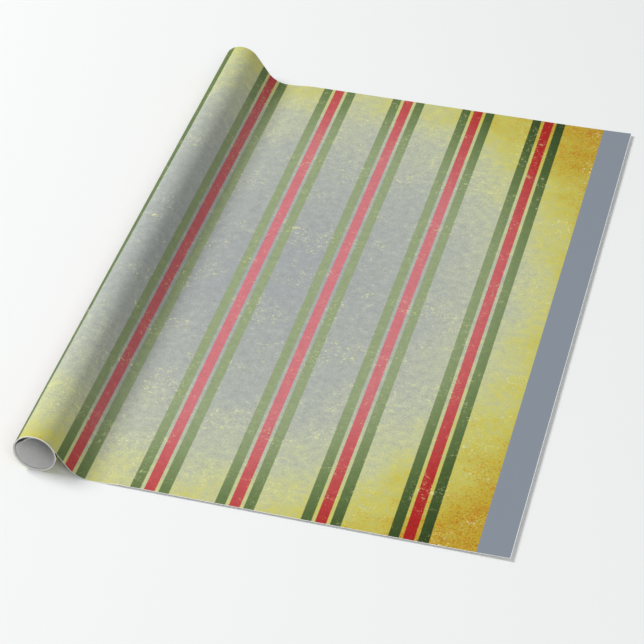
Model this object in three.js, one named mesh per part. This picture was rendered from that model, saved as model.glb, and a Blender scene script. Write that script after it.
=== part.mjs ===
// Roll of gift-wrapping paper, partly unrolled on a flat surface.
//
// Millimetres, +Z up. +X runs from the roll towards the sheet's free end, and +Y along the roll.
// The origin is the middle of the object's footprint, on the surface that it lies on.
//
// The paper is one continuous web. From its free end it lies flat (laid_sheet), bends up off the
// surface (sheet_foot), slopes up to the roll (rising_sheet), passes once round it (outer_wrap)
// and ends in the tight coils under that turn (wound_turns). The coils hold a loose core of two
// plies of paperboard.
import * as THREE from 'three';

// Paper
const webWidth = 762;
const paperThickness = 0.12;
const laidLength = 437;
const footRadius = 30;
const liftOffAngle = THREE.MathUtils.degToRad(34);

// Roll
const coilCount = 8;
const rollSkew = THREE.MathUtils.degToRad(0.55);
const coilInset = 0.5;

// Core
const boreRadius = 20.2;
const plyThickness = 0.4;
const coreInset = 1.5;

// Clearances
const glueLine = 0.3;
const wrapClearance = 0.3;
const joinGap = 0.3;
const coreFit = 0.3;
const coreSlack = 0.15;

// Smoothness of the round faces
const roundSegments = 96;
const curveSegments = 20;

// The radii follow from the bore outwards. The coils' bore is larger than the core by the fit and
// the slack, and the core lies against it on the lower side that faces the laid sheet.
const innerPlyRadius = boreRadius + plyThickness;
const outerPlyBore = innerPlyRadius + glueLine;
const coreRadius = outerPlyBore + plyThickness;
const coilBore = coreRadius + coreFit + coreSlack;
const coilRadius = coilBore + coilCount * paperThickness;
const wrapBore = coilRadius + wrapClearance;
const rollRadius = wrapBore + paperThickness;

// The web's centre line leaves the roll at the lift-off angle, falls straight along the tangent
// there and bends back to level over the foot radius.
const wrapLineRadius = rollRadius - paperThickness / 2;
const fallAngle = Math.PI / 2 - liftOffAngle;
const liftOffHeight = rollRadius + wrapLineRadius * Math.sin(liftOffAngle);
const footDrop = footRadius * (1 - Math.cos(fallAngle));
const straightDrop = liftOffHeight - footDrop - paperThickness / 2;
const straightLength = straightDrop / Math.sin(fallAngle);
const footStart = wrapLineRadius * Math.cos(liftOffAngle) + straightLength * Math.cos(fallAngle);
const footReach = footStart + footRadius * Math.sin(fallAngle);

// The roll lies askew to the laid sheet, so its two ends are offset to either side along X.
const skewSlope = Math.tan(rollSkew);
const endOffset = skewSlope * webWidth / 2;
const overallLength = rollRadius + endOffset + footReach + laidLength;
const rollX = rollRadius + endOffset - overallLength / 2;
const footX = rollX + footReach;
const freeEndX = footX + laidLength;
const coreOffset = coreSlack * Math.SQRT1_2;

const printedPaper = new THREE.MeshStandardMaterial({ color: '#a4ad93', roughness: 0.62, metalness: 0 });
const coiledPaper = new THREE.MeshStandardMaterial({ color: '#b3b98c', roughness: 0.65, metalness: 0 });
const outerBoard = new THREE.MeshStandardMaterial({ color: '#756c5f', roughness: 0.85, metalness: 0 });
const innerBoard = new THREE.MeshStandardMaterial({ color: '#d6d6d4', roughness: 0.85, metalness: 0 });

function named(name, geometry, material) {
  const mesh = new THREE.Mesh(geometry, material);
  mesh.name = name;
  return mesh;
}

// Points of a round stretch in the X-Z plane, from one angle to the other.
function arc(centreX, centreZ, radius, fromAngle, toAngle, segments) {
  return Array.from({ length: segments + 1 }, (_, i) => {
    const angle = fromAngle + (toAngle - fromAngle) * i / segments;
    return new THREE.Vector2(centreX + radius * Math.cos(angle), centreZ + radius * Math.sin(angle));
  });
}

// Both faces of the paper, half its thickness to each side of a centre line.
function paperOutline(line) {
  const faces = line.map((point, i) => {
    const before = line[Math.max(i - 1, 0)];
    const after = line[Math.min(i + 1, line.length - 1)];
    const along = after.clone().sub(before).normalize();
    const across = new THREE.Vector2(-along.y, along.x).multiplyScalar(paperThickness / 2);
    return [point.clone().add(across), point.clone().sub(across)];
  });
  const back = faces.map((pair) => pair[0]);
  const front = faces.map((pair) => pair[1]);
  return new THREE.Shape([...front, ...back.reverse()]);
}

// Carries an X-Z outline across the web's width, slanted along X to follow the roll.
function acrossWeb(shape) {
  const geometry = new THREE.ExtrudeGeometry(shape, { depth: webWidth, bevelEnabled: false });
  geometry.rotateX(Math.PI / 2);
  geometry.translate(0, webWidth / 2, 0);
  const slant = new THREE.Matrix4().makeShear(0, 0, -skewSlope, 0, 0, 0);
  geometry.applyMatrix4(slant);
  return geometry;
}

function laidSheet() {
  const halfWidth = webWidth / 2;
  const rootX = footX + joinGap;
  const outline = new THREE.Shape([
    new THREE.Vector2(rootX + endOffset, -halfWidth),
    new THREE.Vector2(freeEndX, -halfWidth),
    new THREE.Vector2(freeEndX, halfWidth),
    new THREE.Vector2(rootX - endOffset, halfWidth),
  ]);
  const geometry = new THREE.ExtrudeGeometry(outline, { depth: paperThickness, bevelEnabled: false });
  return named('laid_sheet', geometry, printedPaper);
}

// The bend where the paper comes down to the surface, from level up to the slope of its fall.
function footLine() {
  const level = -Math.PI / 2;
  const centreZ = footRadius + paperThickness / 2;
  return arc(footX, centreZ, footRadius, level, level - fallAngle, curveSegments);
}

function sheetFoot() {
  return named('sheet_foot', acrossWeb(paperOutline(footLine())), printedPaper);
}

// The straight fall between the roll and the foot, with a join gap at both ends.
function risingSheet() {
  const top = new THREE.Vector2(rollX + wrapLineRadius * Math.cos(liftOffAngle), liftOffHeight);
  const bottom = footLine().pop();
  const gap = top.clone().sub(bottom).setLength(joinGap);
  const line = [bottom.add(gap), top.sub(gap)];
  return named('rising_sheet', acrossWeb(paperOutline(line)), printedPaper);
}

// The turn stops where it would come closer to the rising sheet above it than the join gap.
function outerWrap() {
  const clearRadius = wrapLineRadius + paperThickness + joinGap;
  const tailAngle = liftOffAngle + 2 * Math.PI - Math.acos(wrapLineRadius / clearRadius);
  const line = arc(rollX, rollRadius, wrapLineRadius, liftOffAngle, tailAngle, roundSegments);
  return named('outer_wrap', acrossWeb(paperOutline(line)), printedPaper);
}

// A plain tube along Y, its middle at the origin.
function tube(name, innerRadius, outerRadius, length, material) {
  const half = length / 2;
  const profile = [
    new THREE.Vector2(innerRadius, half),
    new THREE.Vector2(innerRadius, -half),
    new THREE.Vector2(outerRadius, -half),
    new THREE.Vector2(outerRadius, half),
    new THREE.Vector2(innerRadius, half),
  ];
  return named(name, new THREE.LatheGeometry(profile, roundSegments), material);
}

function core() {
  const group = new THREE.Group();
  const length = webWidth - 2 * coreInset;
  group.add(tube('core_inner_ply', boreRadius, innerPlyRadius, length, innerBoard));
  group.add(tube('core_outer_ply', outerPlyBore, coreRadius, length, outerBoard));
  group.position.set(coreOffset, 0, -coreOffset);
  return group;
}

function coiledRoll() {
  const group = new THREE.Group();
  group.add(tube('wound_turns', coilBore, coilRadius, webWidth - 2 * coilInset, coiledPaper));
  group.add(core());
  group.position.set(rollX, 0, rollRadius);
  group.rotation.z = rollSkew;
  return group;
}

const wrappingPaperRoll = new THREE.Group();
wrappingPaperRoll.add(laidSheet(), sheetFoot(), risingSheet(), outerWrap(), coiledRoll());

export default wrappingPaperRoll;
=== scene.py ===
import math

import bmesh
import bpy
from mathutils import Matrix, Vector


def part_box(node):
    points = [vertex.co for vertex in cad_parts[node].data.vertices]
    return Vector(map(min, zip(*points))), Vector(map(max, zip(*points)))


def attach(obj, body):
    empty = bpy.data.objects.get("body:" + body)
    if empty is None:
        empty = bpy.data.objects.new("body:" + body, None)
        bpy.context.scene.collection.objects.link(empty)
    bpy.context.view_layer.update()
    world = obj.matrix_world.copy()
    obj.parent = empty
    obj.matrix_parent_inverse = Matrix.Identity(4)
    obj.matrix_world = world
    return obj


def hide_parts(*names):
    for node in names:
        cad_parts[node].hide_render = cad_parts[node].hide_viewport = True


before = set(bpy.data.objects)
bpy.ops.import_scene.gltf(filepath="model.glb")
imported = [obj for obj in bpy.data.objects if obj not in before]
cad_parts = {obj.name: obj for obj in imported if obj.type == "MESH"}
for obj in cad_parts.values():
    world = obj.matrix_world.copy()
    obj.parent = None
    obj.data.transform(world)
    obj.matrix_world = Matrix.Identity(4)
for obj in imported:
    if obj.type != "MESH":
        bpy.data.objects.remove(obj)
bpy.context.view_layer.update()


# ----------------------------------------------------------- printed paper, drawn off the roll
# One web of uncoated gift wrap, 0.12 mm thick, printed on its outer side and plain white behind.
# From its cut end it lies flat, bends up off the surface, slopes up to the roll and passes once
# round it. Paper keeps some curl, so its free edges stand a little proud of the surface.

MM = 0.001
TURN = 2 * math.pi

laid_low, laid_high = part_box("laid_sheet")
foot_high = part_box("sheet_foot")[1]
wrap_low, wrap_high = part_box("outer_wrap")

paper_thickness = laid_high[2] - laid_low[2]
web_width = laid_high[1] - laid_low[1]
cut_end_x = laid_high[0]
roll_radius = (wrap_high[2] - wrap_low[2]) / 2
roll_x = (wrap_high[0] + wrap_low[0]) / 2
roll_z = wrap_low[2] + roll_radius
end_offset = (wrap_high[0] - wrap_low[0]) / 2 - roll_radius
skew_slope = 2 * end_offset / web_width
foot_x = foot_high[0] - end_offset

LIFT_OFF_ANGLE = math.radians(34)
FOOT_RADIUS = 30 * MM
COIL_PITCH = 0.12 * MM

fall_angle = TURN / 4 - LIFT_OFF_ANGLE
wrap_radius = roll_radius - paper_thickness / 2
lift_off = Vector((roll_x + wrap_radius * math.cos(LIFT_OFF_ANGLE),
                   roll_z + wrap_radius * math.sin(LIFT_OFF_ANGLE)))
foot_length = FOOT_RADIUS * fall_angle
foot_top = Vector((foot_x - FOOT_RADIUS * math.sin(fall_angle),
                   paper_thickness / 2 + FOOT_RADIUS * (1 - math.cos(fall_angle))))
fall_length = (lift_off - foot_top).length
wrap_length = TURN * wrap_radius


def web_past_foot(distance):
    """Place in X-Z of the web's centre line, by its length from the foot towards the roll."""
    if distance <= foot_length:
        angle = distance / FOOT_RADIUS
        return (foot_x - FOOT_RADIUS * math.sin(angle),
                paper_thickness / 2 + FOOT_RADIUS * (1 - math.cos(angle)))
    if distance <= foot_length + fall_length:
        return tuple(foot_top.lerp(lift_off, (distance - foot_length) / fall_length))
    round_roll = (distance - foot_length - fall_length) / wrap_radius
    radius = wrap_radius - COIL_PITCH * round_roll / TURN
    angle = LIFT_OFF_ANGLE + round_roll
    return roll_x + radius * math.cos(angle), roll_z + radius * math.sin(angle)


FIELD_LIFT = 1.9 * MM
SIDE_CURL = 0.3 * MM
END_CURL = 1.5 * MM
CURL_REACH = 55 * MM
RIPPLE_HEIGHT = 0.12 * MM
RIPPLE_ALONG = 31 * MM
RIPPLE_ASLANT = 83 * MM
RIPPLE_ACROSS = 57 * MM
SETTLE_START = 3 * MM
SETTLE_REACH = 32 * MM


def lift(x, y, from_foot):
    """Height of the laid paper over the surface, which it only touches at the foot."""
    side_curl = SIDE_CURL * math.exp((abs(y) - web_width / 2) / CURL_REACH)
    end_curl = END_CURL * math.exp((x - cut_end_x) / CURL_REACH)
    ripple = (RIPPLE_HEIGHT * math.sin(x / RIPPLE_ALONG + y / RIPPLE_ASLANT)
              * math.sin(y / RIPPLE_ACROSS))
    rise = min(max((from_foot - SETTLE_START) / SETTLE_REACH, 0), 1)
    smooth_rise = rise * rise * (3 - 2 * rise)
    return (FIELD_LIFT + max(side_curl, end_curl) + ripple) * smooth_rise


LAID_COLUMNS = 84
ROWS = 72
FOOT_COLUMNS = 20
FALL_COLUMNS = 5
WRAP_COLUMNS = 112
past_foot_lengths = (
    [foot_length * i / FOOT_COLUMNS for i in range(1, FOOT_COLUMNS + 1)]
    + [foot_length + fall_length * i / FALL_COLUMNS for i in range(1, FALL_COLUMNS + 1)]
    + [foot_length + fall_length + wrap_length * i / WRAP_COLUMNS
       for i in range(1, WRAP_COLUMNS + 1)])


def web_point(column, y):
    """(place, distance along the web from its cut end) of one point of the drawn-off paper."""
    shift = -skew_slope * y
    laid_length = cut_end_x - foot_x - shift
    if column <= LAID_COLUMNS:
        along = laid_length * column / LAID_COLUMNS
        x = cut_end_x - along
        return (x, y, paper_thickness / 2 + lift(x, y, laid_length - along)), along
    past_foot = past_foot_lengths[column - LAID_COLUMNS - 1]
    x, z = web_past_foot(past_foot)
    return (x + shift, y, z), laid_length + past_foot


def mesh_object(name, mesh):
    """A new object in the scene that shows a mesh, at the origin."""
    obj = bpy.data.objects.new(name, mesh)
    bpy.context.scene.collection.objects.link(obj)
    return obj


SHARP_ANGLE = math.radians(50)


def bake_modifiers(obj):
    """Turns an object's modifiers into plain mesh, smooth but for its sharp edges."""
    graph = bpy.context.evaluated_depsgraph_get()
    mesh = bpy.data.meshes.new_from_object(obj.evaluated_get(graph), depsgraph=graph)
    obj.modifiers.clear()
    obj.data = mesh
    mesh.shade_smooth()
    mesh.set_sharp_from_angle(angle=SHARP_ANGLE)


columns = LAID_COLUMNS + len(past_foot_lengths) + 1
grid = [[web_point(column, -web_width / 2 + web_width * row / ROWS) for row in range(ROWS + 1)]
        for column in range(columns)]
corners = [(c, r) for c in range(columns) for r in range(ROWS + 1)]
faces = [(c * (ROWS + 1) + r, c * (ROWS + 1) + r + 1,
          (c + 1) * (ROWS + 1) + r + 1, (c + 1) * (ROWS + 1) + r)
         for c in range(columns - 1) for r in range(ROWS)]
web_mesh = bpy.data.meshes.new("paper_web")
web_mesh.from_pydata([grid[c][r][0] for c, r in corners], [], faces)
web_uv = web_mesh.uv_layers.new(name="UVMap")
for loop in web_mesh.loops:
    c, r = corners[loop.vertex_index]
    web_uv.data[loop.index].uv = (grid[c][r][1], web_width * r / ROWS)
paper_web = mesh_object("paper_web", web_mesh)


# The material is offset-printed paper. A worn, vintage ground runs from cool grey in the middle
# to mustard and brown at the sides, under groups of three stripes; the ink is dull and dry.

def linear(hex_colour):
    """Linear RGBA of an sRGB hex colour."""
    parts = [int(hex_colour[i:i + 2], 16) / 255 for i in (1, 3, 5)]
    return [p / 12.92 if p <= 0.04045 else ((p + 0.055) / 1.055) ** 2.4 for p in parts] + [1]


def add(tree, kind, inputs=(), output=0, **settings):
    """Adds one node with its settings, its values and its links, and gives one of its outputs."""
    node = tree.nodes.new(kind)
    for name, value in settings.items():
        setattr(node, name, value)
    pairs = inputs.items() if isinstance(inputs, dict) else enumerate(inputs)
    for key, value in pairs:
        if isinstance(value, bpy.types.NodeSocket):
            tree.links.new(value, node.inputs[key])
        else:
            node.inputs[key].default_value = value
    return node.outputs[output]


def ramp(tree, factor, stops):
    """A colour ramp through (position, sRGB hex) stops."""
    colour = add(tree, "ShaderNodeValToRGB", [factor])
    elements = colour.node.color_ramp.elements
    while len(elements) < len(stops):
        elements.new(1)
    for element, (position, hex_colour) in zip(elements, stops):
        element.position = position
        element.color = linear(hex_colour)
    return colour


def new_material(name):
    """A material with just its Principled shader, and the tree that it is in."""
    material = bpy.data.materials.new(name)
    material.use_nodes = True
    tree = material.node_tree
    return material, tree, tree.nodes["Principled BSDF"]


STRIPE_PERIOD = 89.51 * MM
FIRST_STRIPE = 102.8 * MM
RED_HALF = 5.75 * MM
GREEN_INNER = 9.55 * MM
GREEN_OUTER = 20.5 * MM
SLATE_END = 34.4 * MM
WHITE_EDGE = 0.55 * MM
INK_EDGE = 0.35 * MM
ART_CENTRE = 342 * MM
ART_REACH_OUT = 290 * MM
ART_REACH_BACK = 480 * MM
ART_SPAN = 1.5
# Where along the web the painted shade on the stripes sets in, first on the slope and then on the
# roll.
SLOPE_SHADE_START = 425 * MM
SLOPE_SHADE_END = 455 * MM
ROLL_SHADE_START = 470 * MM
ROLL_SHADE_END = 540 * MM

GROUND = [(0.10, "#a6abab"), (0.40, "#b0b5ad"), (0.55, "#bcc1a9"), (0.65, "#c7ca94"),
          (0.75, "#cac560"), (0.85, "#c4ad38"), (0.95, "#c3a02b")]
GREENS = [(0.10, "#99a781"), (0.45, "#95a47c"), (0.55, "#88986d"), (0.65, "#6c8050"),
          (0.75, "#4a5f30"), (0.90, "#293e19")]
REDS = [(0.10, "#d47c84"), (0.45, "#d0787d"), (0.60, "#c6595c"), (0.75, "#b22c2b"),
        (0.90, "#a51515")]
RUST = "#c07c1c"
BROWN = "#93561a"
RUBBED = "#dedfa4"
SLATE = "#89929c"
UNPRINTED = "#f1f1ee"

printed, tree, shader = new_material("printed_gift_wrap_paper")
uv = add(tree, "ShaderNodeUVMap", uv_map="UVMap")
along = add(tree, "ShaderNodeSeparateXYZ", [uv], 0)
across = add(tree, "ShaderNodeSeparateXYZ", [uv], 1)

# How far a point is from the middle of the art, where 1 is the middle of a side edge.
toward_roll = add(tree, "ShaderNodeMath", [along, ART_CENTRE], operation="SUBTRACT")
back = add(tree, "ShaderNodeMath", [toward_roll, ART_REACH_BACK], operation="DIVIDE")
out = add(tree, "ShaderNodeMath", [toward_roll, -ART_REACH_OUT], operation="DIVIDE")
lengthwise = add(tree, "ShaderNodeMath", [back, out], operation="MAXIMUM")
off_middle = add(tree, "ShaderNodeMath", [across, web_width / 2], operation="SUBTRACT")
crosswise = add(tree, "ShaderNodeMath", [off_middle, web_width / 2], operation="DIVIDE")
offset = add(tree, "ShaderNodeCombineXYZ", [lengthwise, crosswise, 0.0])
reach = add(tree, "ShaderNodeVectorMath", [offset], "Value", operation="LENGTH")

# Stains, blotches and grain, each of its own size, shift the ground along its ramp.
STAIN_SIZE = 58.824 * MM
BLOTCH_SIZE = 9.0909 * MM
GRAIN_SIZE = 2.08333 * MM
STAIN_SHIFT = 0.07
BLOTCH_SHIFT = 0.07
GRAIN_SHIFT = 0.09
stains = add(tree, "ShaderNodeTexNoise",
             {"Vector": uv, "Scale": 1 / STAIN_SIZE, "Detail": 3.0, "Roughness": 0.55})
blotches = add(tree, "ShaderNodeTexNoise",
               {"Vector": uv, "Scale": 1 / BLOTCH_SIZE, "Detail": 5.0, "Roughness": 0.65})
grain = add(tree, "ShaderNodeTexNoise",
            {"Vector": uv, "Scale": 1 / GRAIN_SIZE, "Detail": 3.0, "Roughness": 0.65})
stain_shift = add(tree, "ShaderNodeMapRange", [stains, 0.3, 0.7, -STAIN_SHIFT, STAIN_SHIFT])
blotch_shift = add(tree, "ShaderNodeMapRange", [blotches, 0.3, 0.7, -BLOTCH_SHIFT, BLOTCH_SHIFT])
grain_shift = add(tree, "ShaderNodeMapRange", [grain, 0.3, 0.7, -GRAIN_SHIFT, GRAIN_SHIFT])
wear_shift = add(tree, "ShaderNodeMath", [stain_shift, blotch_shift], operation="ADD")
wear_shift = add(tree, "ShaderNodeMath", [wear_shift, grain_shift], operation="ADD")
worn_reach = add(tree, "ShaderNodeMath", [reach, wear_shift], operation="ADD")
place = add(tree, "ShaderNodeMath", [worn_reach, ART_SPAN], operation="DIVIDE")

# The stripes fade towards the middle where the sheet has lain in the light. From the foot on,
# the stripe inks are painted darker and more saturated, as painted shade on the slope and round
# the roll, the red more so than the green.
SLOPE_SHADE_LEVEL = 0.72
ROLL_SHADE_LEVEL = 0.36
RED_SHADE_GAIN = 1.12
slope_shade = add(tree, "ShaderNodeMapRange", [along, SLOPE_SHADE_START, SLOPE_SHADE_END, 0.0, SLOPE_SHADE_LEVEL])
roll_shade = add(tree, "ShaderNodeMapRange", [along, ROLL_SHADE_START, ROLL_SHADE_END, 0.0, ROLL_SHADE_LEVEL])
ink_shade = add(tree, "ShaderNodeMath", [slope_shade, roll_shade], operation="ADD")
red_ink_shade = add(tree, "ShaderNodeMath", [ink_shade, RED_SHADE_GAIN], operation="MULTIPLY")
green_reach_and_shade = add(tree, "ShaderNodeMath", [reach, ink_shade], operation="MAXIMUM")
red_reach_and_shade = add(tree, "ShaderNodeMath", [reach, red_ink_shade], operation="MAXIMUM")
green_place = add(tree, "ShaderNodeMath", [green_reach_and_shade, ART_SPAN], operation="DIVIDE")
red_place = add(tree, "ShaderNodeMath", [red_reach_and_shade, ART_SPAN], operation="DIVIDE")

ground = ramp(tree, place, GROUND)
green = ramp(tree, green_place, GREENS)
red = ramp(tree, red_place, REDS)

# Foxing where the ground is darkest: rusty patches of 13 mm with brown grains of 2 mm in them.
# Each range gives the noise where a mark begins, where it is whole, and how strong it then is.
SPECK_SIZE = 2.32558 * MM
PATCH_SIZE = 13.3333 * MM
specks = add(tree, "ShaderNodeTexNoise",
             {"Vector": uv, "Scale": 1 / SPECK_SIZE, "Detail": 3.0, "Roughness": 0.7,
              "Distortion": 0.4})
patches = add(tree, "ShaderNodeTexNoise",
              {"Vector": uv, "Scale": 1 / PATCH_SIZE, "Detail": 4.0, "Roughness": 0.7})
foxed_area = add(tree, "ShaderNodeMapRange", [worn_reach, 1.10, 1.36, 0.0, 1.0])
rust_spots = add(tree, "ShaderNodeMapRange", [patches, 0.50, 0.66, 0.0, 0.75])
rust = add(tree, "ShaderNodeMath", [rust_spots, foxed_area], operation="MULTIPLY")
rusty = add(tree, "ShaderNodeMix", {0: rust, 6: ground, 7: linear(RUST)}, 2, data_type="RGBA")
speck_spots = add(tree, "ShaderNodeMapRange", [specks, 0.50, 0.66, 0.0, 0.80])
foxing = add(tree, "ShaderNodeMath", [speck_spots, foxed_area], operation="MULTIPLY")
foxed = add(tree, "ShaderNodeMix", {0: foxing, 6: rusty, 7: linear(BROWN)}, 2, data_type="RGBA")

# The stripes: a red one between two green ones, with the ground showing between them. Their
# edges wander a little, as ink does on rough paper.
WOBBLE_SIZE = 2.38095 * MM
WOBBLE = 0.3 * MM
wobble = add(tree, "ShaderNodeTexNoise", {"Vector": uv, "Scale": 1 / WOBBLE_SIZE, "Detail": 1.0})
edge_shift = add(tree, "ShaderNodeMapRange", [wobble, 0.0, 1.0, -WOBBLE, WOBBLE])
from_first = add(tree, "ShaderNodeMath", [along, FIRST_STRIPE], operation="SUBTRACT")
wrapped = add(tree, "ShaderNodeMath", [from_first, STRIPE_PERIOD / 2, -STRIPE_PERIOD / 2],
              operation="WRAP")
beside = add(tree, "ShaderNodeMath", [wrapped], operation="ABSOLUTE")
beside = add(tree, "ShaderNodeMath", [beside, edge_shift], operation="ADD")
in_red = add(tree, "ShaderNodeMapRange",
             [beside, RED_HALF - INK_EDGE, RED_HALF + INK_EDGE, 1.0, 0.0])
past_gap = add(tree, "ShaderNodeMapRange",
               [beside, GREEN_INNER - INK_EDGE, GREEN_INNER + INK_EDGE, 0.0, 1.0])
in_outer = add(tree, "ShaderNodeMapRange",
               [beside, GREEN_OUTER - INK_EDGE, GREEN_OUTER + INK_EDGE, 1.0, 0.0])
in_green = add(tree, "ShaderNodeMath", [past_gap, in_outer], operation="MULTIPLY")
with_green = add(tree, "ShaderNodeMix", {0: in_green, 6: foxed, 7: green}, 2, data_type="RGBA")
with_red = add(tree, "ShaderNodeMix", {0: in_red, 6: with_green, 7: red}, 2, data_type="RGBA")

# Wear: pale dust, clusters of pale flecks 1 to 5 mm long, rubbed spots of 10 mm, and scratches.
# The stripes hold their thicker ink better than the ground does.
CLUSTER_SIZE = 47.619 * MM
FLECK_SIZE = 3.84615 * MM
RUB_SIZE = 9.52381 * MM
SCRATCH_SPACING = 29.4118 * MM
INK_HOLD = 0.5
clusters = add(tree, "ShaderNodeTexNoise",
               {"Vector": uv, "Scale": 1 / CLUSTER_SIZE, "Detail": 2.0})
dust_spots = add(tree, "ShaderNodeMapRange", [specks, 0.42, 0.32, 0.0, 0.40])
dust_area = add(tree, "ShaderNodeMapRange", [clusters, 0.40, 0.62, 0.2, 1.0])
dust = add(tree, "ShaderNodeMath", [dust_spots, dust_area], operation="MULTIPLY")
cluster_area = add(tree, "ShaderNodeMapRange", [clusters, 0.50, 0.61, 0.06, 1.0])
flecks = add(tree, "ShaderNodeTexNoise",
             {"Vector": uv, "Scale": 1 / FLECK_SIZE, "Detail": 4.0, "Roughness": 0.6,
              "Distortion": 0.7})
fleck_spots = add(tree, "ShaderNodeMapRange", [flecks, 0.57, 0.65, 0.0, 0.9])
fleck_mask = add(tree, "ShaderNodeMath", [cluster_area, fleck_spots], operation="MULTIPLY")
rubs = add(tree, "ShaderNodeTexNoise",
           {"Vector": uv, "Scale": 1 / RUB_SIZE, "Detail": 5.0, "Roughness": 0.55,
            "Distortion": 1.2})
rub_spots = add(tree, "ShaderNodeMapRange", [rubs, 0.64, 0.73, 0.0, 0.85])
rub_mask = add(tree, "ShaderNodeMath", [cluster_area, rub_spots], operation="MULTIPLY")
hairs = add(tree, "ShaderNodeTexVoronoi",
            {"Vector": uv, "Scale": 1 / SCRATCH_SPACING, "Randomness": 1.0},
            feature="DISTANCE_TO_EDGE")
hair_lines = add(tree, "ShaderNodeMapRange", [hairs, 0.0, 0.022, 0.6, 0.0])
hair_area = add(tree, "ShaderNodeMapRange", [blotches, 0.55, 0.64, 0.0, 1.0])
hair_mask = add(tree, "ShaderNodeMath", [hair_lines, hair_area], operation="MULTIPLY")
scratched = add(tree, "ShaderNodeMath", [fleck_mask, hair_mask], operation="MAXIMUM")
scratched = add(tree, "ShaderNodeMath", [scratched, rub_mask], operation="MAXIMUM")
wear_mask = add(tree, "ShaderNodeMath", [scratched, dust], operation="MAXIMUM")
inked = add(tree, "ShaderNodeMath", [in_green, in_red], operation="MAXIMUM")
ink_hold = add(tree, "ShaderNodeMapRange", [inked, 0.0, 1.0, 1.0, INK_HOLD])
wear_mask = add(tree, "ShaderNodeMath", [wear_mask, ink_hold], operation="MULTIPLY")
worn = add(tree, "ShaderNodeMix", {0: wear_mask, 6: with_red, 7: linear(RUBBED)},
           2, data_type="RGBA")

# Fine mottle of the dry ink, and the plain slate strip that ends the print. The mottle is drawn
# at 1 mm, coarser than real ink's, so that it shows.
MOTTLE_SIZE = 1.11111 * MM
mottle = add(tree, "ShaderNodeTexNoise",
             {"Vector": uv, "Scale": 1 / MOTTLE_SIZE, "Detail": 3.0, "Roughness": 0.7})
ink_spread = add(tree, "ShaderNodeMath", [mottle, grain], operation="ADD")
ink_spread = add(tree, "ShaderNodeMath", [ink_spread, blotches], operation="ADD")
mottle_value = add(tree, "ShaderNodeMapRange", [ink_spread, 1.0, 2.0, 0.77, 1.22])
mottled = add(tree, "ShaderNodeHueSaturation", {"Value": mottle_value, "Color": worn})
in_slate = add(tree, "ShaderNodeMath", [along, SLATE_END], operation="LESS_THAN")
with_slate = add(tree, "ShaderNodeMix", {0: in_slate, 6: mottled, 7: linear(SLATE)},
                 2, data_type="RGBA")

# A hair of unprinted paper shows at the trimmed near edge and at the cut end.
edge_distance = add(tree, "ShaderNodeMath", [along, across], operation="MINIMUM")
unprinted = add(tree, "ShaderNodeMath", [edge_distance, WHITE_EDGE], operation="LESS_THAN")
surface = add(tree, "ShaderNodeMix", {0: unprinted, 6: with_slate, 7: linear(UNPRINTED)},
              2, data_type="RGBA")
tree.links.new(surface, shader.inputs["Base Color"])
ink_gloss = add(tree, "ShaderNodeMapRange", [mottle, 0.0, 1.0, 0.50, 0.66])
tree.links.new(ink_gloss, shader.inputs["Roughness"])
shader.inputs["Specular IOR Level"].default_value = 0.12
RELIEF_HEIGHT = 0.04 * MM
paper_relief = add(tree, "ShaderNodeBump",
                   {"Strength": 0.25, "Distance": RELIEF_HEIGHT, "Height": mottle})
tree.links.new(paper_relief, shader.inputs["Normal"])


# The back and the cut edges are plain white wood-free paper, matt, with a faint mottle of fibres
# drawn at 0.8 mm, coarser than real ones, so that it shows.
FIBRE_SIZE = 0.769231 * MM
plain, tree, shader = new_material("plain_white_paper_back")
uv = add(tree, "ShaderNodeUVMap", uv_map="UVMap")
fibres = add(tree, "ShaderNodeTexNoise",
             {"Vector": uv, "Scale": 1 / FIBRE_SIZE, "Detail": 4.0, "Roughness": 0.7})
white = ramp(tree, fibres, [(0.3, "#e9e9e7"), (0.7, "#f4f4f2")])
tree.links.new(white, shader.inputs["Base Color"])
shader.inputs["Roughness"].default_value = 0.72
fibre_relief = add(tree, "ShaderNodeBump",
                   {"Strength": 0.3, "Distance": RELIEF_HEIGHT, "Height": fibres})
tree.links.new(fibre_relief, shader.inputs["Normal"])


def thicken(obj, thickness):
    """Gives a surface its thickness, half to each side, printed before and plain behind."""
    solid = obj.modifiers.new("thickness", "SOLIDIFY")
    solid.thickness = thickness
    solid.offset = 0
    solid.material_offset = 1
    solid.material_offset_rim = 1


web_mesh.materials.append(printed)
web_mesh.materials.append(plain)
thicken(paper_web, paper_thickness)
bake_modifiers(paper_web)
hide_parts("laid_sheet", "sheet_foot", "rising_sheet", "outer_wrap")
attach(paper_web, "drawn_sheet")
drawn_length = cut_end_x - foot_x + foot_length + fall_length + wrap_length


# ---------------------------------------------------------------------- wound coils of the web
# The rest of the same web, eight turns wound tight in a spiral under the outer turn. Its printed
# side faces out, and its cut edges show as pale rings at the ends. The sheet is drawn thinner
# than the winding's pitch, so that the turns stay clear of each other.

COIL_TURNS = 8
COIL_STEPS = 96
COIL_ROWS = 12
COIL_CLEARANCE = 0.2 * MM
COIL_SET_BACK = 0.5 * MM
COIL_PAPER = 0.1 * MM
coil_radius = roll_radius - 2 * paper_thickness - COIL_CLEARANCE
roll_skew = math.atan(skew_slope)
coil_width = web_width - 2 * COIL_SET_BACK

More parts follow.
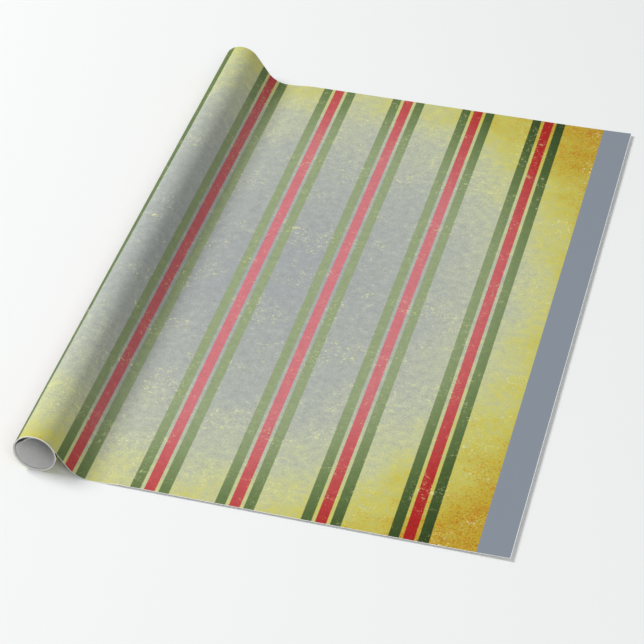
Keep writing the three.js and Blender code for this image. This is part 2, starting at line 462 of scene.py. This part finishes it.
coil_tree = bpy.data.node_groups.new("spiral_coils", "GeometryNodeTree")
coil_sizes = {"Outer Radius": coil_radius, "Pitch": COIL_PITCH, "Turns": float(COIL_TURNS),
              "Width": coil_width, "Start Angle": LIFT_OFF_ANGLE}
coil_inputs = {label: coil_tree.interface.new_socket(label, in_out="INPUT",
                                                     socket_type="NodeSocketFloat").identifier
               for label in coil_sizes}
coil_tree.interface.new_socket("Geometry", in_out="OUTPUT", socket_type="NodeSocketGeometry")
given = coil_tree.nodes.new("NodeGroupInput").outputs
flat_grid = coil_tree.nodes.new("GeometryNodeMeshGrid")
flat_grid.inputs["Size X"].default_value = 1
flat_grid.inputs["Size Y"].default_value = 1
flat_grid.inputs["Vertices X"].default_value = COIL_TURNS * COIL_STEPS + 1
flat_grid.inputs["Vertices Y"].default_value = COIL_ROWS + 1
spot = add(coil_tree, "GeometryNodeInputPosition")
spot_x = add(coil_tree, "ShaderNodeSeparateXYZ", [spot], 0)
spot_y = add(coil_tree, "ShaderNodeSeparateXYZ", [spot], 1)
share = add(coil_tree, "ShaderNodeMath", [spot_x, 0.5], operation="ADD")
turns = add(coil_tree, "ShaderNodeMath", [share, given["Turns"]], operation="MULTIPLY")
angle = add(coil_tree, "ShaderNodeMath", [turns, TURN, given["Start Angle"]],
            operation="MULTIPLY_ADD")
sunk = add(coil_tree, "ShaderNodeMath", [turns, given["Pitch"]], operation="MULTIPLY")
radius = add(coil_tree, "ShaderNodeMath", [given["Outer Radius"], sunk], operation="SUBTRACT")
cosine = add(coil_tree, "ShaderNodeMath", [angle], operation="COSINE")
sine = add(coil_tree, "ShaderNodeMath", [angle], operation="SINE")
place_x = add(coil_tree, "ShaderNodeMath", [radius, cosine], operation="MULTIPLY")
place_y = add(coil_tree, "ShaderNodeMath", [spot_y, given["Width"]], operation="MULTIPLY")
place_z = add(coil_tree, "ShaderNodeMath", [radius, sine], operation="MULTIPLY")
coil_place = add(coil_tree, "ShaderNodeCombineXYZ", [place_x, place_y, place_z])
unwound = add(coil_tree, "ShaderNodeMath", [turns, given["Outer Radius"]], operation="MULTIPLY")
web_along = add(coil_tree, "ShaderNodeMath", [unwound, TURN, drawn_length],
                operation="MULTIPLY_ADD")
web_across = add(coil_tree, "ShaderNodeMath", [place_y, coil_width / 2], operation="ADD")
web_place = add(coil_tree, "ShaderNodeCombineXYZ", [web_along, web_across, 0.0])
mapped = add(coil_tree, "GeometryNodeStoreNamedAttribute",
             {"Geometry": flat_grid.outputs["Mesh"], "Name": "UVMap", "Value": web_place},
             data_type="FLOAT2", domain="CORNER")
rolled = add(coil_tree, "GeometryNodeSetPosition", {"Geometry": mapped, "Position": coil_place})
faced_out = add(coil_tree, "GeometryNodeFlipFaces", {"Mesh": rolled})
turned = add(coil_tree, "GeometryNodeTransform",
             {"Geometry": faced_out, "Translation": (roll_x, 0, roll_z),
              "Rotation": (0, 0, roll_skew)})
plain_mesh = add(coil_tree, "GeometryNodeRealizeInstances", [turned])
finished = add(coil_tree, "GeometryNodeSetMaterial",
               {"Geometry": plain_mesh, "Material": printed})
coil_out = coil_tree.nodes.new("NodeGroupOutput")
coil_tree.links.new(finished, coil_out.inputs["Geometry"])

wound_coils = mesh_object("wound_coils", bpy.data.meshes.new("wound_coils"))
spiral = wound_coils.modifiers.new("spiral", "NODES")
spiral.node_group = coil_tree
for label, identifier in coil_inputs.items():
    spiral[identifier] = coil_sizes[label]
bake_modifiers(wound_coils)
wound_coils.data.materials.clear()
wound_coils.data.materials.append(printed)
wound_coils.data.materials.append(plain)
thicken(wound_coils, COIL_PAPER)
bake_modifiers(wound_coils)
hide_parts("wound_turns")
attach(wound_coils, "wound_roll")


# ----------------------------------------------------------------------------------- core tube
# Two plies of paperboard wound in a spiral and glued: brown chipboard outside, coloured darker
# than the board alone as painted shade for the gap at the dented end, and a light liner in the
# bore. Each ply's edges butt along a helix, which stays as a shallow groove. The saw leaves the
# ends square, and handling has pressed a dent into the near end.

inner_low, inner_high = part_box("core_inner_ply")
outer_low, outer_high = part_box("core_outer_ply")
core_centre = Vector(((outer_low[0] + outer_high[0]) / 2, 0,
                      (outer_low[2] + outer_high[2]) / 2))
bore_outer_radius = (inner_high[2] - inner_low[2]) / 2
core_radius = (outer_high[2] - outer_low[2]) / 2
core_length = ((inner_high[1] - inner_low[1] - 2 * bore_outer_radius * math.sin(roll_skew))
               / math.cos(roll_skew))
PLY = 0.4 * MM
bore_radius = bore_outer_radius - PLY
ply_joint = (bore_outer_radius + core_radius - PLY) / 2
HALF_GLUE = 0.02 * MM
SEAM_HALF = 0.5 * MM
SEAM_DEPTH = 0.12 * MM
OUTER_SEAM_PITCH = 92 * MM
OUTER_SEAM_START = 11 * MM
INNER_SEAM_PITCH = 86 * MM
INNER_SEAM_START = 40 * MM
MERGE_DISTANCE = 0.002 * MM
AROUND = 180
DENT_DEPTH = 3.0 * MM
DENT_ANGLE = math.radians(129)
DENT_HALF = math.radians(22)
DENT_REACH = 110 * MM


def dent(angle, y):
    """Depth of the dent that handling has left in the core's near end."""
    off = (angle - DENT_ANGLE) / DENT_HALF
    return DENT_DEPTH * math.exp(-off * off) * math.exp(-(y + core_length / 2) / DENT_REACH)


def ply_tube(name, face, inside, outside, pitch, start, seam_outside):
    """One ply: a closed tube whose rows follow the helix, so its seam is a true groove."""
    half = core_length / 2
    most_turns = int(core_length / pitch / 2) + 2
    offsets = [-SEAM_HALF, 0, SEAM_HALF, pitch / 3, 2 * pitch / 3]
    rows = [turn * pitch + offset
            for turn in range(-most_turns, most_turns + 1) for offset in offsets]
    bm = bmesh.new()

    def wall(radius, sunk):
        """The four-sided faces of one wall, as lists of points, with its seam sunk."""
        ring = []
        for step in range(AROUND + 1):
            angle = TURN * step / AROUND
            line = []
            for i, row in enumerate(rows):
                y = row + start + pitch * step / AROUND
                at_seam = i % len(offsets) == 1 and abs(y) < half
                y = max(-half, min(half, y))
                r = radius + (sunk if at_seam else 0) - dent(angle, y)
                line.append(bm.verts.new((r * math.cos(angle), y, r * math.sin(angle))))
            ring.append(line)
        quads = []
        for step in range(AROUND):
            for i in range(len(rows) - 1):
                quads.append((ring[step][i], ring[step][i + 1],
                              ring[step + 1][i + 1], ring[step + 1][i]))
        return quads

    sink_out = -SEAM_DEPTH if seam_outside else 0
    sink_in = 0 if seam_outside else SEAM_DEPTH
    for quad in wall(outside, sink_out):
        bm.faces.new(quad)
    for quad in wall(inside, sink_in):
        bm.faces.new(quad[::-1])
    bmesh.ops.remove_doubles(bm, verts=bm.verts[:], dist=MERGE_DISTANCE)
    bmesh.ops.dissolve_degenerate(bm, dist=MERGE_DISTANCE / 2, edges=bm.edges[:])
    rims = [e for e in bm.edges if e.is_boundary]
    bmesh.ops.bridge_loops(bm, edges=[e for e in rims if e.verts[0].co.y > 0])
    bmesh.ops.bridge_loops(bm, edges=[e for e in rims if e.verts[0].co.y < 0])
    bmesh.ops.recalc_face_normals(bm, faces=bm.faces[:])
    mesh = bpy.data.meshes.new(name)
    bm.to_mesh(mesh)
    bm.free()
    mesh.shade_smooth()
    mesh.set_sharp_from_angle(angle=SHARP_ANGLE)
    for material in (face, cut_board_with_painted_shade):
        mesh.materials.append(material)
    for polygon in mesh.polygons:
        polygon.material_index = int(abs(polygon.normal.y) > 0.9)
    mesh.transform(Matrix.Translation(core_centre) @ Matrix.Rotation(roll_skew, 4, "Z"))
    return mesh_object(name, mesh)


# Paperboard is dry and matt. Its pulp is cloudy at 6 mm, with flecks of recycled fibre about
# 1 mm wide and 3 mm long, coarser than most real ones, so that they show.
PULP_SIZE = 6.25 * MM
BOARD_FIBRE_SIZE = 0.909091 * MM
BOARD_RELIEF_HEIGHT = 0.06 * MM


def board(name, dark, light, fleck, amount):
    """Paperboard with fibre flecks, between two close colours."""
    material, tree, shader = new_material(name)
    at = add(tree, "ShaderNodeTexCoord", output="Object")
    pulp = add(tree, "ShaderNodeTexNoise",
               {"Vector": at, "Scale": 1 / PULP_SIZE, "Detail": 5.0, "Roughness": 0.6})
    base = ramp(tree, pulp, [(0.35, dark), (0.65, light)])
    stretched = add(tree, "ShaderNodeMapping", {"Vector": at, "Scale": (1.0, 0.35, 1.0)})
    fibre = add(tree, "ShaderNodeTexNoise",
                {"Vector": stretched, "Scale": 1 / BOARD_FIBRE_SIZE, "Detail": 2.0,
                 "Roughness": 0.5})
    fibre_mask = add(tree, "ShaderNodeMapRange", [fibre, 0.62, 0.70, 0.0, amount])
    colour = add(tree, "ShaderNodeMix", {0: fibre_mask, 6: base, 7: linear(fleck)},
                 2, data_type="RGBA")
    tree.links.new(colour, shader.inputs["Base Color"])
    shader.inputs["Roughness"].default_value = 0.86
    relief = add(tree, "ShaderNodeBump",
                 {"Strength": 0.35, "Distance": BOARD_RELIEF_HEIGHT, "Height": fibre})
    tree.links.new(relief, shader.inputs["Normal"])
    return material


# The outer ply is darker than plain chipboard: painted shade for the gap between the dented core
# and the coils.
chipboard_with_gap_shade = board("brown_chipboard_ply_with_gap_shade", "#6f6657", "#7d7465", "#55503f", 0.5)
liner = board("light_liner_board", "#e2e2e1", "#ebebea", "#c6c5c2", 0.25)
# The sawn ends are grey board, partly painted shade: darkened so that the lit end ring sits with
# the shaded bore.
cut_board_with_painted_shade = board("sawn_board_edge_with_painted_shade", "#adacaa", "#bebdba", "#8e8c88", 0.4)

outer_ply = ply_tube("core_outer_liner", chipboard_with_gap_shade, ply_joint + HALF_GLUE, core_radius,
                     OUTER_SEAM_PITCH, OUTER_SEAM_START, True)
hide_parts("core_outer_ply")
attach(outer_ply, "core")

inner_ply = ply_tube("core_inner_liner", liner, bore_radius, ply_joint - HALF_GLUE,
                     INNER_SEAM_PITCH, INNER_SEAM_START, False)
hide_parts("core_inner_ply")
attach(inner_ply, "core")


# --------------------------------------------------------------------- floor, light and camera
# A plain pale floor of matt paint, a large soft light from the upper left behind the roll, a
# smaller one from the front, and even white surroundings that fill the shadows.

FLOOR_HALF = 12.0
floor_mesh = bpy.data.meshes.new("floor")
floor_corners = [(-FLOOR_HALF, -FLOOR_HALF, 0), (FLOOR_HALF, -FLOOR_HALF, 0),
                 (FLOOR_HALF, FLOOR_HALF, 0), (-FLOOR_HALF, FLOOR_HALF, 0)]
floor_mesh.from_pydata(floor_corners, [], [(0, 1, 2, 3)])
floor = mesh_object("floor", floor_mesh)
floor_paint, tree, shader = new_material("matt_white_backdrop")
shader.inputs["Base Color"].default_value = linear("#f3f5f4")
shader.inputs["Roughness"].default_value = 0.9
floor_mesh.materials.append(floor_paint)

world = bpy.data.worlds.new("studio")
world.use_nodes = True
surroundings = world.node_tree.nodes["Background"]
surroundings.inputs["Color"].default_value = (0.98, 0.99, 1.0, 1)
surroundings.inputs["Strength"].default_value = 0.34
bpy.context.scene.world = world


def softbox(name, place, size, watts):
    """A round soft light that faces the object."""
    data = bpy.data.lights.new(name, "AREA")
    data.shape = "DISK"
    data.size = size
    data.energy = watts
    light = bpy.data.objects.new(name, data)
    light.location = place
    light.rotation_euler = (-light.location).to_track_quat("-Z", "Y").to_euler()
    bpy.context.scene.collection.objects.link(light)


softbox("key_light", (-4.3, 0.3, 4.1), 2.5, 267)
softbox("fill_light", (2.2, -3.6, 3.9), 2.4, 72)

CAMERA_PLACE = (0.47768, -1.90952, 1.54335)
CAMERA_LENS = 123.82
forward = Vector((-0.19998, 0.75038, -0.63003)).normalized()
right = Vector((0.96566, 0.25979, 0.0029)).normalized()
up = right.cross(forward)
camera_data = bpy.data.cameras.new("camera")
camera_data.sensor_width = 36
camera_data.lens = CAMERA_LENS
camera_data.clip_end = 50
camera = bpy.data.objects.new("camera", camera_data)
axes = Matrix((right, up, -forward)).transposed().to_4x4()
camera.matrix_world = Matrix.Translation(CAMERA_PLACE) @ axes
bpy.context.scene.collection.objects.link(camera)
bpy.context.scene.camera = camera
bpy.context.scene.view_settings.view_transform = "Standard"
